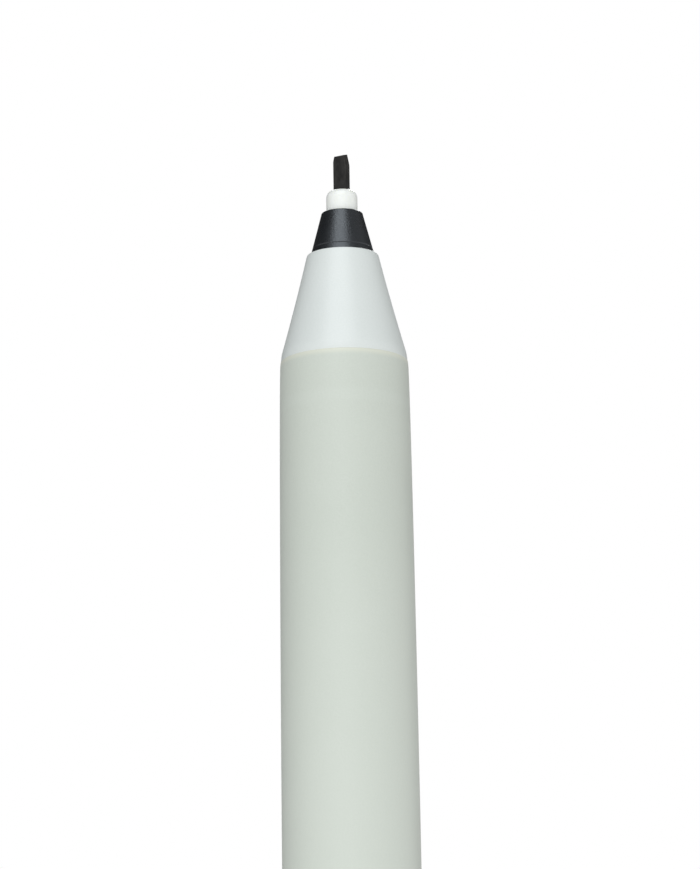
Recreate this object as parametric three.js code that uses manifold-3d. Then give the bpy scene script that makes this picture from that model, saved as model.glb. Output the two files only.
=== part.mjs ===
// A calligraphy-type felt tip marker, standing on the closed end of its own cap, which is posted on the tail.
// Millimetres, +Z up. The origin is the centre of the cap's end face, and every round piece is centred on Z.
import * as THREE from "three";
import { mergeVertices } from "three/addons/utils/BufferGeometryUtils.js";
import Module from "manifold-3d";

const wasm = await Module();
wasm.setup();

// ---- Driving dimensions ----------------------------------------------------------------------------------

const CAP_LENGTH = 42; // closed end face to mouth
const CAP_OVERLAP = 18; // how far the posted cap reaches over the tail
const MARKER_BODY = 110; // tail face to the barrel's front edge
const FRONT_DIAMETER = 11; // the barrel just behind its rounded front edge
const BARREL_CROWN = 0.6; // how much the middle of the barrel swells
const BARREL_CROWN_AT = 60; // the fattest place, back from the front edge
const BARREL_LEAD = 0.12; // extra swell just behind the front edge
const BARREL_LEAD_LENGTH = 3;
const BARREL_WALL_AT_FRONT = 0.9;

const SHOULDER_ARC = 4.5; // radius of the arc that blends the barrel's edge into the cone
const SHOULDER_START = 0.35; // where that arc starts, back from the barrel's edge
const SHOULDER_SLOPE = 15.8; // and the slope at which it ends on the cone, in degrees
const CONE_HEIGHT = 9.53;
const CONE_TOP_RADIUS = 3.1;
const CONE_HOLLOW = 0.048; // how much the flank curves in, halfway up
const SEAM_STEP = 0.05; // the cone lies this much inside the barrel's edge

const COLLAR_HEIGHT = 3.85;
const COLLAR_BASE_RADIUS = 2.78;
const COLLAR_TOP_RADIUS = 1.77;
const COLLAR_STEM_LENGTH = 6.2; // the part of the collar that goes into the cone

const HOLDER_HEIGHT = 1.98;
const HOLDER_RADIUS = 1.35;
const HOLDER_FLAT_RADIUS = 0.9; // flat top, inside the rounded shoulder
const HOLDER_SHOULDER = 0.64; // height of the rounded shoulder

const NIB_LENGTH_OUT = 3.4; // what shows above the holder
const NIB_WIDTH = 1.3;
const NIB_THICKNESS = 0.7;
const NIB_END_SLOPE = THREE.MathUtils.degToRad(18); // the end rises by this to the far face
const NIB_RIGHT_CORNER = [0.25, 1.15]; // how far in each dressed corner goes, and how far down
const NIB_LEFT_CORNER = [0.2, 0.79];
const NIB_TURN = THREE.MathUtils.degToRad(-32); // how the slab is turned about the marker's axis

const SLIDE_GAP = 0.12; // cap bore to barrel
const FIXED_GAP = 0.05; // between pieces that are pressed together
const CLIP_GAP = 0.3; // round the clip, which flexes

const ROUND = 36; // sides of the large round pieces
const SMALL_ROUND = 24; // sides of the small ones

// ---- Heights worked out from them ------------------------------------------------------------------------

const TAIL_Z = CAP_LENGTH - CAP_OVERLAP;
const TAIL_FLANGE = 1; // the tail plug's rim, which covers the barrel's end
const TAIL_PLUG_LENGTH = 7;
const BARREL_BACK_Z = TAIL_Z + TAIL_FLANGE;
const FRONT_Z = TAIL_Z + MARKER_BODY;
const CONE_TOP_Z = FRONT_Z + CONE_HEIGHT;
const COLLAR_TOP_Z = CONE_TOP_Z + COLLAR_HEIGHT;
const HOLDER_TOP_Z = COLLAR_TOP_Z + HOLDER_HEIGHT;
const NIB_TIP_Z = HOLDER_TOP_Z + NIB_LENGTH_OUT;

const BORE = FRONT_DIAMETER / 2 - BARREL_WALL_AT_FRONT; // the barrel's bore radius
const SPIGOT_LENGTH = 5; // how far the cone's sleeve goes into the barrel
const RESERVOIR_RADIUS = 3.9;
const RESERVOIR_PLAY = 0.3; // left free at each end of the reservoir
const RESERVOIR_TOP_Z = FRONT_Z - SPIGOT_LENGTH - RESERVOIR_PLAY;
const RESERVOIR_BOTTOM_Z = TAIL_Z + TAIL_PLUG_LENGTH + RESERVOIR_PLAY;
const WRAP_INNER = RESERVOIR_RADIUS + FIXED_GAP;
const WRAP_OUTER = WRAP_INNER + 0.15;
const NIB_BACK_Z = RESERVOIR_TOP_Z - 3.6; // the nib's back end, inside the reservoir
const COLLAR_SOCKET = COLLAR_BASE_RADIUS - 0.24; // the cone's bore round the collar's stem
const HOLDER_SOCKET = 1.25; // and the collar's round the holder's stem

const CAP_END_RADIUS = 6.55;
const CAP_MOUTH_RADIUS = 6.75;
const CAP_SOCKET = 5.65; // bore radius behind the stop, where the liner and the end plug sit
const PLUG_STANDS_OUT = 0.5; // the end plug stands proud of the shell by this much
const PLUG_TOP_Z = 7;
const LINER_BOTTOM_Z = PLUG_TOP_Z + 0.3;
const LINER_TOP_Z = TAIL_Z - 0.4;
const LINER_WALL_OUT = 5;
const LINER_CAVITY = 4.3;
const LINER_LIP = 3.25;

const CLIP_WIDTH = 4;
const CLIP_THICKNESS = 0.5;
const CLIP_ROOT_Z = 2.4;
const CLIP_ROOT_IN = 4.3; // inner end of the root tab, from the axis
const CLIP_BEND = 1; // centreline radius of the bend outside the shell
const CLIP_STANDS_AT = 7.85; // centreline of the blade, from the axis
const CLIP_END_Z = 36.8;

// ---- Shape helpers ---------------------------------------------------------------------------------------

// A solid of revolution about Z from [radius, height] points, listed up the outside and down the inside.
function turned(profile, sides) {
  const points = profile.map(([radius, height]) => new THREE.Vector2(radius, height));
  return new THREE.LatheGeometry(points, sides).rotateX(Math.PI / 2);
}

// The same for a ring or a tube: the profile closes on itself.
function turnedRing(profile, sides) {
  return turned([...profile, profile[0]], sides);
}

// Points on a quarter or part ellipse in a profile, from one angle to another, in degrees.
function ellipsePoints(centre, radii, from, to, steps) {
  return Array.from({ length: steps + 1 }, (_, i) => {
    const angle = THREE.MathUtils.degToRad(from + ((to - from) * i) / steps);
    return [centre[0] + radii[0] * Math.cos(angle), centre[1] + radii[1] * Math.sin(angle)];
  });
}

// A box by its lowest and highest corners.
function box(low, high) {
  const size = high.map((value, i) => value - low[i]);
  const middle = high.map((value, i) => (value + low[i]) / 2);
  return new THREE.BoxGeometry(...size).translate(...middle);
}

function toSolid(geometry) {
  const bare = geometry.clone();
  bare.deleteAttribute("normal");
  bare.deleteAttribute("uv");
  const merged = mergeVertices(bare, 1e-4);
  return new wasm.Manifold(
    new wasm.Mesh({
      numProp: 3,
      vertProperties: merged.attributes.position.array,
      triVerts: new Uint32Array(merged.index.array),
    }),
  );
}

function fromSolid(solid) {
  const mesh = solid.getMesh();
  return new THREE.BufferGeometry()
    .setAttribute("position", new THREE.BufferAttribute(mesh.vertProperties, 3))
    .setIndex(new THREE.BufferAttribute(mesh.triVerts, 1));
}

function cut(geometry, ...tools) {
  return fromSolid(tools.reduce((solid, tool) => solid.subtract(toSolid(tool)), toSolid(geometry)));
}

function joined(geometry, ...more) {
  return fromSolid(more.reduce((solid, piece) => solid.add(toSolid(piece)), toSolid(geometry)));
}

// Copies of a geometry at equal angles about Z.
function around(geometry, count, firstAngle = 0) {
  return Array.from({ length: count }, (_, i) =>
    geometry.clone().rotateZ(firstAngle + (i * 2 * Math.PI) / count),
  );
}

function material(color, roughness, metalness = 0) {
  return new THREE.MeshStandardMaterial({ color, roughness, metalness });
}

function node(name, geometry, finish) {
  const mesh = new THREE.Mesh(geometry, finish);
  mesh.name = name;
  return mesh;
}

// ---- Materials -------------------------------------------------------------------------------------------

const barrelPlastic = () => material(0xcfd6ce, 0.45);
const conePlastic = () => material(0xdce2df, 0.4);
const blackPlastic = () => material(0x2b2c2e, 0.4);
const whiteAcetal = () => material(0xf2f5f1, 0.45);
const linerPlastic = () => material(0xe9ebe8, 0.5);
const nibFibre = () => material(0x2c2c2d, 0.85);
const inkFibre = () => material(0x202022, 0.95);
const clearFilm = () => material(0xd9dcdd, 0.2);
const springSteel = () => material(0xb9bbbc, 0.3, 1);

// ---- The marker ------------------------------------------------------------------------------------------

// The barrel's outer radius: a long crowned curve, a little steeper just behind the front edge.
function barrelRadius(z) {
  const back = FRONT_Z - z;
  const crown = BARREL_CROWN * (1 - ((back - BARREL_CROWN_AT) / BARREL_CROWN_AT) ** 2);
  const lead = BARREL_LEAD * (1 - Math.exp(-back / BARREL_LEAD_LENGTH));
  return (FRONT_DIAMETER + crown + lead) / 2;
}

// A point on the shoulder, by the surface's slope there in degrees: 0 is where the arc starts.
function shoulderPoint(slope) {
  const angle = THREE.MathUtils.degToRad(slope);
  const centre = [FRONT_DIAMETER / 2 - SHOULDER_ARC, FRONT_Z - SHOULDER_START];
  return [centre[0] + SHOULDER_ARC * Math.cos(angle), centre[1] + SHOULDER_ARC * Math.sin(angle)];
}

// The slope at which the shoulder crosses the seam between barrel and cone.
const SEAM_SLOPE = THREE.MathUtils.radToDeg(Math.asin(SHOULDER_START / SHOULDER_ARC));

function barrel() {
  const edge = 0.12; // chamfer at both ends
  const steps = 10; // closer together near the front, where the curve is tighter
  const last = 96;
  const outside = Array.from({ length: steps + 1 }, (_, i) => {
    const z = FRONT_Z - THREE.MathUtils.lerp(last, SHOULDER_START, 1 - (1 - i / steps) ** 2);
    return [barrelRadius(z), z];
  });
  const seam = shoulderPoint(SEAM_SLOPE);
  const shell = turnedRing(
    [
      [barrelRadius(BARREL_BACK_Z) - edge, BARREL_BACK_Z],
      [barrelRadius(BARREL_BACK_Z), BARREL_BACK_Z + edge],
      ...outside,
      [seam[0], FRONT_Z - edge / 2],
      [seam[0] - edge / 2, FRONT_Z],
      [BORE, FRONT_Z],
      [BORE, BARREL_BACK_Z],
    ],
    ROUND,
  );
  // Six ribs in the bore keep the wrapped reservoir in the middle and leave an air path round it.
  const ribInner = WRAP_OUTER + 2 * FIXED_GAP;
  const ribHalf = 0.25;
  const ribBottom = BARREL_BACK_Z + 12;
  const ribTop = FRONT_Z - SPIGOT_LENGTH - 8;
  const rib = box([ribInner, -ribHalf, ribBottom], [BORE + 0.3, ribHalf, ribTop]);
  return joined(shell, ...around(rib, 6));
}

function tailPlug() {
  const rim = barrelRadius(TAIL_Z);
  const spigot = BORE - FIXED_GAP;
  const top = TAIL_Z + TAIL_PLUG_LENGTH;
  const recess = 0.4; // moulding recess in the end face
  const edge = 0.35;
  const hollow = 3.2; // bore of the plug's skirt
  const endWall = TAIL_Z + 2.4;
  return turned(
    [
      [0, TAIL_Z + recess],
      [2.6, TAIL_Z + recess],
      [2.9, TAIL_Z],
      [rim - edge, TAIL_Z],
      [rim, TAIL_Z + edge],
      [rim, TAIL_Z + TAIL_FLANGE],
      [spigot, TAIL_Z + TAIL_FLANGE],
      [spigot, top - 0.5],
      [spigot - 0.5, top],
      [hollow, top],
      [hollow, endWall],
      [0, endWall],
    ],
    ROUND,
  );
}

function frontCone() {
  const foot = shoulderPoint(SEAM_SLOPE)[0] - SEAM_STEP;
  const flankStart = shoulderPoint(SHOULDER_SLOPE);
  const flankPoint = (share) => {
    const straight = THREE.MathUtils.lerp(flankStart[0], CONE_TOP_RADIUS, share);
    const inwards = 4 * CONE_HOLLOW * share * (1 - share);
    return [straight - inwards, THREE.MathUtils.lerp(flankStart[1], CONE_TOP_Z, share)];
  };
  const edge = 0.06;
  const spigot = BORE - FIXED_GAP;
  const sleeveEnd = FRONT_Z - SPIGOT_LENGTH;
  const lead = 0.3; // chamfer that helps the sleeve into the barrel
  const socketEnd = CONE_TOP_Z - COLLAR_STEM_LENGTH - 0.2;
  const throat = 3.5; // bore below the socket
  return turnedRing(
    [
      [spigot - lead, sleeveEnd],
      [spigot, sleeveEnd + lead],
      [spigot, FRONT_Z],
      [foot, FRONT_Z],
      shoulderPoint((SEAM_SLOPE + SHOULDER_SLOPE) / 2),
      ...[0, 0.25, 0.5, 0.75].map(flankPoint),
      [CONE_TOP_RADIUS, CONE_TOP_Z - edge],
      [CONE_TOP_RADIUS - edge, CONE_TOP_Z],
      [COLLAR_SOCKET, CONE_TOP_Z],
      [COLLAR_SOCKET, socketEnd],
      [throat, socketEnd - 1.4],
      [throat, sleeveEnd],
    ],
    ROUND,
  );
}

function collar() {
  const flank = (height) =>
    THREE.MathUtils.lerp(COLLAR_BASE_RADIUS, COLLAR_TOP_RADIUS, height / COLLAR_HEIGHT);
  const groove = CONE_TOP_Z + 0.6;
  const grooveHalf = 0.07;
  const grooveDepth = 0.06;
  const corner = 0.2;
  const cornerCentre = [flank(COLLAR_HEIGHT - corner) - corner, COLLAR_TOP_Z - corner];
  const stem = COLLAR_SOCKET - FIXED_GAP;
  const stemBottom = CONE_TOP_Z - COLLAR_STEM_LENGTH;
  const lead = 0.3;
  return turnedRing(
    [
      [stem - lead, stemBottom],
      [stem, stemBottom + lead],
      [stem, CONE_TOP_Z],
      [flank(0), CONE_TOP_Z],
      [flank(groove - grooveHalf - CONE_TOP_Z), groove - grooveHalf],
      [flank(groove - CONE_TOP_Z) - grooveDepth, groove],
      [flank(groove + grooveHalf - CONE_TOP_Z), groove + grooveHalf],
      ...ellipsePoints(cornerCentre, [corner, corner], 0, 90, 3),
      [HOLDER_SOCKET, COLLAR_TOP_Z],
      [HOLDER_SOCKET, stemBottom],
    ],
    SMALL_ROUND,
  );
}

function nibHolder() {
  const stem = HOLDER_SOCKET - FIXED_GAP;
  const stemBottom = CONE_TOP_Z - 4;
  const lead = 0.2;
  const bore = 0.8; // round the nib's stem, narrowing to the slot's floor
  const slotFloor = 0.35;
  const shoulder = [HOLDER_RADIUS - HOLDER_FLAT_RADIUS, HOLDER_SHOULDER];
  const body = turnedRing(
    [
      [stem - lead, stemBottom],
      [stem, stemBottom + lead],
      [stem, COLLAR_TOP_Z],
      [HOLDER_RADIUS, COLLAR_TOP_Z],
      ...ellipsePoints([HOLDER_FLAT_RADIUS, HOLDER_TOP_Z - HOLDER_SHOULDER], shoulder, 0, 90, 4),
      [slotFloor, HOLDER_TOP_Z],
      [slotFloor, COLLAR_TOP_Z],
      [bore, COLLAR_TOP_Z - 0.6],
      [bore, stemBottom],
    ],
    SMALL_ROUND,
  );
  // The slot follows the slab, and a vent groove runs down one side of the stem.
  const halfWidth = NIB_WIDTH / 2 + FIXED_GAP;
  const halfThickness = NIB_THICKNESS / 2 + FIXED_GAP;
  const slot = box(
    [-halfWidth, -halfThickness, COLLAR_TOP_Z - 1],
    [halfWidth, halfThickness, HOLDER_TOP_Z + 1],
  ).rotateZ(NIB_TURN);
  const ventHalf = 0.2;
  const ventTop = COLLAR_TOP_Z - 0.5;
  const vent = box([stem - ventHalf, -ventHalf, stemBottom - 1], [stem + 1, ventHalf, ventTop]);
  return cut(body, slot, vent);
}

// The chisel nib: a slab of pressed fibre with both corners dressed back and the end cut at a slope, so
// that the writing edge lies along the far face.
function nib() {
  const w = NIB_WIDTH / 2;
  const t = NIB_THICKNESS / 2;
  const [rightIn, rightDown] = NIB_RIGHT_CORNER;
  const [leftIn, leftDown] = NIB_LEFT_CORNER;
  const backTaper = 0.35; // narrows where it enters the reservoir
  const outline = new THREE.Shape([
    new THREE.Vector2(-w + backTaper, NIB_BACK_Z),
    new THREE.Vector2(w - backTaper, NIB_BACK_Z),
    new THREE.Vector2(w, NIB_BACK_Z + 1),
    new THREE.Vector2(w, NIB_TIP_Z - rightDown),
    new THREE.Vector2(w - rightIn, NIB_TIP_Z),
    new THREE.Vector2(-w + leftIn, NIB_TIP_Z),
    new THREE.Vector2(-w, NIB_TIP_Z - leftDown),
    new THREE.Vector2(-w, NIB_BACK_Z + 1),
  ]);
  const slab = new THREE.ExtrudeGeometry(outline, { depth: NIB_THICKNESS, bevelEnabled: false })
    .translate(0, 0, -t)
    .rotateX(Math.PI / 2);
  const clear = 3; // reaches well past the slab
  const endCut = box([-clear, -clear, 0], [clear, NIB_THICKNESS, clear])
    .rotateX(NIB_END_SLOPE)
    .translate(0, t, NIB_TIP_Z);
  return cut(slab, endCut).rotateZ(NIB_TURN);
}

function inkReservoir() {
  const pocket = 0.85; // takes the nib's back end
  const pocketFloor = NIB_BACK_Z - 0.3;
  return turned(
    [
      [0, RESERVOIR_BOTTOM_Z],
      [RESERVOIR_RADIUS, RESERVOIR_BOTTOM_Z],
      [RESERVOIR_RADIUS, RESERVOIR_TOP_Z],
      [pocket, RESERVOIR_TOP_Z],
      [pocket, pocketFloor],
      [0, pocketFloor],
    ],
    SMALL_ROUND,
  );
}

function reservoirWrap() {
  const margin = 0.8; // the film stops short of the fibre at both ends
  return turnedRing(
    [
      [WRAP_OUTER, RESERVOIR_BOTTOM_Z + margin],
      [WRAP_OUTER, RESERVOIR_TOP_Z - margin],
      [WRAP_INNER, RESERVOIR_TOP_Z - margin],
      [WRAP_INNER, RESERVOIR_BOTTOM_Z + margin],
    ],
    SMALL_ROUND,
  );
}

// ---- The cap ---------------------------------------------------------------------------------------------

// A box-shaped slot for the clip's root, pointing to -Y, with the flexing gap all round.
function clipSlot() {
  const half = CLIP_THICKNESS / 2 + CLIP_GAP;
  const side = CLIP_WIDTH / 2 + CLIP_GAP;
  return box(
    [-side, -CAP_END_RADIUS - 1, CLIP_ROOT_Z - half],
    [side, -CLIP_ROOT_IN + CLIP_GAP, CLIP_ROOT_Z + half],
  );
}

function capShell() {
  const round = 0.5; // rounded edge at the closed end
  const lip = 0.3; // and a softer one at the mouth
  const stop = LINER_TOP_Z - 0.3;
  const bore = [CAP_LENGTH - lip, CAP_LENGTH - 6, TAIL_Z + 5].map((z) => [barrelRadius(z) + SLIDE_GAP, z]);
  const shell = turnedRing(
    [
      [CAP_SOCKET, PLUG_STANDS_OUT],
      ...ellipsePoints([CAP_END_RADIUS - round, PLUG_STANDS_OUT + round], [round, round], -90, 0, 3),
      [CAP_MOUTH_RADIUS, CAP_LENGTH - lip],
      [CAP_MOUTH_RADIUS - lip / 2, CAP_LENGTH],
      [barrelRadius(CAP_LENGTH) + SLIDE_GAP + lip / 2, CAP_LENGTH],
      ...bore,
      [barrelRadius(TAIL_Z) + SLIDE_GAP, stop],
      [CAP_SOCKET, stop],
    ],
    ROUND,
  );
  return cut(shell, clipSlot());
}

function capEndPlug() {
  const radius = CAP_SOCKET - FIXED_GAP;
  const skirt = 4.6; // bore of the plug's skirt
  const endWall = 3.6;
  const edge = 0.3;
  const lead = 0.4;
  const body = turned(
    [
      [0, 0],
      [radius - edge, 0],
      [radius, edge],
      [radius, PLUG_TOP_Z - lead],
      [radius - lead, PLUG_TOP_Z],
      [skirt, PLUG_TOP_Z],
      [skirt, endWall],
      [0, endWall],
    ],
    ROUND,
  );
  // Three grooves down the rim let air through the cap, as the safety standard for pen caps asks.
  const ventDepth = 0.7;
  const ventHalf = 0.9;
  const vent = box([radius - ventDepth, -ventHalf, -1], [radius + 1, ventHalf, PLUG_TOP_Z + 1]);
  return cut(body, clipSlot(), ...around(vent, 3, Math.PI / 2));
}

// The inner seal closes on the cone when the tip is in the cap. The tail stops just above its lip.
function capLiner() {
  const flange = CAP_SOCKET - FIXED_GAP;
  const flangeHeight = 1.5;
  const wallStart = 2; // the wall proper starts this far from either end
  const lipHeight = 0.8;
  const floor = LINER_BOTTOM_Z + 1;
  return turned(
    [
      [0, LINER_BOTTOM_Z],
      [flange, LINER_BOTTOM_Z],
      [flange, LINER_BOTTOM_Z + flangeHeight],
      [LINER_WALL_OUT, LINER_BOTTOM_Z + wallStart],
      [LINER_WALL_OUT, LINER_TOP_Z - wallStart],
      [flange, LINER_TOP_Z - flangeHeight],
      [flange, LINER_TOP_Z],
      [LINER_LIP, LINER_TOP_Z],
      [LINER_LIP, LINER_TOP_Z - lipHeight],
      [LINER_CAVITY, LINER_TOP_Z - wallStart],
      [LINER_CAVITY, floor],
      [0, floor],
    ],
    ROUND,
  );
}

// The clip's centreline, as distance from the axis against height: root tab, bend, blade, bead and flick.
function clipCentreline() {
  const bendCentre = CLIP_STANDS_AT - CLIP_BEND;
  const bead = CAP_MOUTH_RADIUS + CLIP_GAP + CLIP_THICKNESS / 2;
  const bladeTop = CLIP_END_Z - 7;
  const beadZ = CLIP_END_Z - 3;
  const halfway = (bladeTop + beadZ) / 2;
  const flick = 0.75; // the end stands out from the bead by this
  const path = new THREE.Path();
  path.moveTo(CLIP_ROOT_IN, CLIP_ROOT_Z);
  path.lineTo(bendCentre, CLIP_ROOT_Z);
  path.absarc(bendCentre, CLIP_ROOT_Z + CLIP_BEND, CLIP_BEND, -Math.PI / 2, 0, false);
  path.lineTo(CLIP_STANDS_AT, bladeTop);
  path.bezierCurveTo(CLIP_STANDS_AT, halfway, bead, halfway, bead, beadZ);
  path.quadraticCurveTo(bead, beadZ + 1.6, bead + flick, CLIP_END_Z);
  return path;
}

function clip() {
  const line = clipCentreline().getPoints(6);
  const side = (sign) =>
    line.map((point, i) => {
      const before = line[Math.max(i - 1, 0)];
      const after = line[Math.min(i + 1, line.length - 1)];
      const along = after.clone().sub(before).normalize();
      return new THREE.Vector2(-along.y, along.x).multiplyScalar((sign * CLIP_THICKNESS) / 2).add(point);
    });
  const outline = new THREE.Shape([...side(-1), ...side(1).reverse()]);
  // Shape x becomes -Y, shape y becomes Z, and the strip's width lies along X.
  const standing = new THREE.Matrix4().makeBasis(
    new THREE.Vector3(0, -1, 0),
    new THREE.Vector3(0, 0, 1),
    new THREE.Vector3(-1, 0, 0),
  );
  return new THREE.ExtrudeGeometry(outline, { depth: CLIP_WIDTH, bevelEnabled: false })
    .translate(0, 0, -CLIP_WIDTH / 2)
    .applyMatrix4(standing);
}

// ---- The assembly ----------------------------------------------------------------------------------------

const marker = new THREE.Group();
marker.add(
  node("barrel", barrel(), barrelPlastic()),
  node("tail_plug", tailPlug(), blackPlastic()),
  node("front_cone", frontCone(), conePlastic()),
  node("collar", collar(), blackPlastic()),
  node("nib_holder", nibHolder(), whiteAcetal()),
  node("nib", nib(), nibFibre()),
  node("ink_reservoir", inkReservoir(), inkFibre()),
  node("reservoir_wrap", reservoirWrap(), clearFilm()),
);

const cap = new THREE.Group();
cap.add(
  node("cap_shell", capShell(), barrelPlastic()),
  node("cap_liner", capLiner(), linerPlastic()),
  node("cap_end_plug", capEndPlug(), blackPlastic()),
  node("clip", clip(), springSteel()),
);

const feltTipMarker = new THREE.Group();
feltTipMarker.add(cap, marker);

export default feltTipMarker;
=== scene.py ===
"""Looks of the felt tip marker: smooth pieces and materials round the frame, a studio and the camera."""
import math

import bmesh
import bpy
from mathutils import Matrix, Vector


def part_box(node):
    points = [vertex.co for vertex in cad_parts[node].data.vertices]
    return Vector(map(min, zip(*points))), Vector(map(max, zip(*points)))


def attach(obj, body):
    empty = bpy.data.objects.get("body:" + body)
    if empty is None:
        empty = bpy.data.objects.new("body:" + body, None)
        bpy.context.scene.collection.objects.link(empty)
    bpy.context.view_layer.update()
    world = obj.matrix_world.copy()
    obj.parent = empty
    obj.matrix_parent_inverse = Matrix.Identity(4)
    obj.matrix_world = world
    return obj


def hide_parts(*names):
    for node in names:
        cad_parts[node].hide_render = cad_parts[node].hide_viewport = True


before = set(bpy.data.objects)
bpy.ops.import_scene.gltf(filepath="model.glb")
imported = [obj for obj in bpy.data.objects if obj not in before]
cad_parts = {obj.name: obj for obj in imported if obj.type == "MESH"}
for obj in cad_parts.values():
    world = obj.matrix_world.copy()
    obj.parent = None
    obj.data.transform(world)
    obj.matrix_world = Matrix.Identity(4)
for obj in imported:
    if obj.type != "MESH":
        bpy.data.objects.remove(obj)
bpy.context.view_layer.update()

# ---- Sizes, in millimetres, from the frame -----------------------------------------------------------------

MM = 0.001


def node_mm(node):
    """The lowest and highest corner of a CAD node, in millimetres."""
    low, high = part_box(node)
    return low / MM, high / MM


BARREL_LOW, BARREL_HIGH = node_mm("barrel")
CONE_LOW, CONE_HIGH = node_mm("front_cone")
COLLAR_LOW, COLLAR_HIGH = node_mm("collar")
HOLDER_LOW, HOLDER_HIGH = node_mm("nib_holder")
NIB_LOW, NIB_HIGH = node_mm("nib")
TAIL_LOW, TAIL_HIGH = node_mm("tail_plug")
FIBRE_LOW, FIBRE_HIGH = node_mm("ink_reservoir")
FILM_LOW, FILM_HIGH = node_mm("reservoir_wrap")
CAP_LOW, CAP_HIGH = node_mm("cap_shell")
LINER_LOW, LINER_HIGH = node_mm("cap_liner")
PLUG_LOW, PLUG_HIGH = node_mm("cap_end_plug")
CLIP_LOW, CLIP_HIGH = node_mm("clip")

FRONT_Z = BARREL_HIGH.z
CONE_TOP_Z = CONE_HIGH.z
COLLAR_TOP_Z = COLLAR_HIGH.z
HOLDER_TOP_Z = HOLDER_HIGH.z

SHOULDER_ARC = 4.5  # radius of the arc that blends the barrel's edge into the cone
SHOULDER_START = 0.35  # where that arc starts, back from the barrel's edge
SHOULDER_SLOPE = 15.8  # and the slope at which it ends on the cone, in degrees
SEAM_SLOPE = math.degrees(math.asin(SHOULDER_START / SHOULDER_ARC))
SEAM_STEP = 0.05  # the cone's foot lies this much inside the barrel's edge
FRONT_RADIUS = 5.5  # the barrel where the shoulder starts
CROWN = 0.3  # how much the barrel's radius swells, and where
CROWN_AT = 60
LEAD = 0.06  # extra swell just behind the front edge
LEAD_LENGTH = 3
BORE = 4.6
SLIDE_GAP = 0.12
FIXED_GAP = 0.05

FINE = 192  # sides of the large round pieces
SMALL = 128  # sides of the small ones
SHARP = 32  # edges sharper than this stay crisp, in degrees
LIFT = 0.005  # keeps two faces that touch from lying in one plane
BEYOND = 1  # how far a cutter reaches past what it cuts


def barrel_radius(z):
    """The barrel's radius at a height: a long shallow swell, and a short one just behind the front edge."""
    back = FRONT_Z - z
    crown = CROWN * (1 - ((back - CROWN_AT) / CROWN_AT) ** 2)
    return FRONT_RADIUS + crown + LEAD * (1 - math.exp(-back / LEAD_LENGTH))


def shoulder_point(slope):
    """A point on the shoulder, by the surface's slope there in degrees: 0 is where the arc starts."""
    angle = math.radians(slope)
    radius = FRONT_RADIUS - SHOULDER_ARC + SHOULDER_ARC * math.cos(angle)
    return radius, FRONT_Z - SHOULDER_START + SHOULDER_ARC * math.sin(angle)


# ---- Mesh helpers ------------------------------------------------------------------------------------------


def arc(centre, radii, start, end, steps=8):
    """Points on part of an ellipse in a profile, angles in degrees."""
    made = []
    for i in range(steps + 1):
        angle = math.radians(start + (end - start) * i / steps)
        made.append((centre[0] + radii[0] * math.cos(angle), centre[1] + radii[1] * math.sin(angle)))
    return made


def stations(start, end, count):
    """Evenly spaced values from start to end, both included."""
    return [start + (end - start) * i / (count - 1) for i in range(count)]


def finish_mesh(name, bm, sharp=SHARP):
    """Turns a bmesh in millimetres into an object, smooth except across edges sharper than the angle."""
    bmesh.ops.remove_doubles(bm, verts=bm.verts, dist=1e-4)
    bmesh.ops.recalc_face_normals(bm, faces=bm.faces)
    bmesh.ops.scale(bm, vec=(MM, MM, MM), verts=bm.verts)
    mesh = bpy.data.meshes.new(name)
    bm.to_mesh(mesh)
    bm.free()
    mesh.shade_smooth()
    mesh.set_sharp_from_angle(angle=math.radians(sharp))
    piece = bpy.data.objects.new(name, mesh)
    bpy.context.collection.objects.link(piece)
    return piece


def turned_bmesh(profile, sides, closed):
    """A surface of revolution about Z from (radius, height) points."""
    bm = bmesh.new()
    rings = []
    for radius, height in profile:
        if radius < 1e-6:
            rings.append([bm.verts.new((0, 0, height))] * sides)
            continue
        ring = []
        for k in range(sides):
            angle = 2 * math.pi * k / sides
            ring.append(bm.verts.new((radius * math.cos(angle), radius * math.sin(angle), height)))
        rings.append(ring)
    pairs = list(zip(rings, rings[1:]))
    if closed:
        pairs.append((rings[-1], rings[0]))
    for lower, upper in pairs:
        for k in range(sides):
            corners = (lower[k], lower[(k + 1) % sides], upper[(k + 1) % sides], upper[k])
            face = list(dict.fromkeys(corners))
            if len(face) > 2:
                bm.faces.new(face)
    return bm


def turned(name, profile, sides=FINE):
    """A round piece. A profile that starts off the axis closes on itself."""
    closed = profile[0][0] > 1e-6
    return finish_mesh(name, turned_bmesh(profile, sides, closed))


def block_bmesh(low, high):
    """A block between two corners."""
    bm = bmesh.new()
    bmesh.ops.create_cube(bm, size=1)
    size = Vector(high) - Vector(low)
    middle = (Vector(high) + Vector(low)) / 2
    bmesh.ops.transform(bm, matrix=Matrix.Translation(middle) @ Matrix.Diagonal((*size, 1)), verts=bm.verts)
    return bm


def carve(piece, cutters):
    """Cuts solids, given as bmeshes in millimetres, out of a piece."""
    for number, bm in enumerate(cutters):
        cutter = finish_mesh(f"{piece.name}_cutter_{number}", bm)
        boolean = piece.modifiers.new("cut", "BOOLEAN")
        boolean.operation = "DIFFERENCE"
        boolean.solver = "EXACT"
        boolean.object = cutter
        bpy.context.view_layer.update()
        graph = bpy.context.evaluated_depsgraph_get()
        made = bpy.data.meshes.new_from_object(piece.evaluated_get(graph))
        piece.modifiers.clear()
        old = piece.data
        piece.data = made
        bpy.data.meshes.remove(old)
        tool = cutter.data
        bpy.data.objects.remove(cutter)
        bpy.data.meshes.remove(tool)
    piece.data.name = piece.name
    piece.data.shade_smooth()
    piece.data.set_sharp_from_angle(angle=math.radians(SHARP))
    return piece


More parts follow.
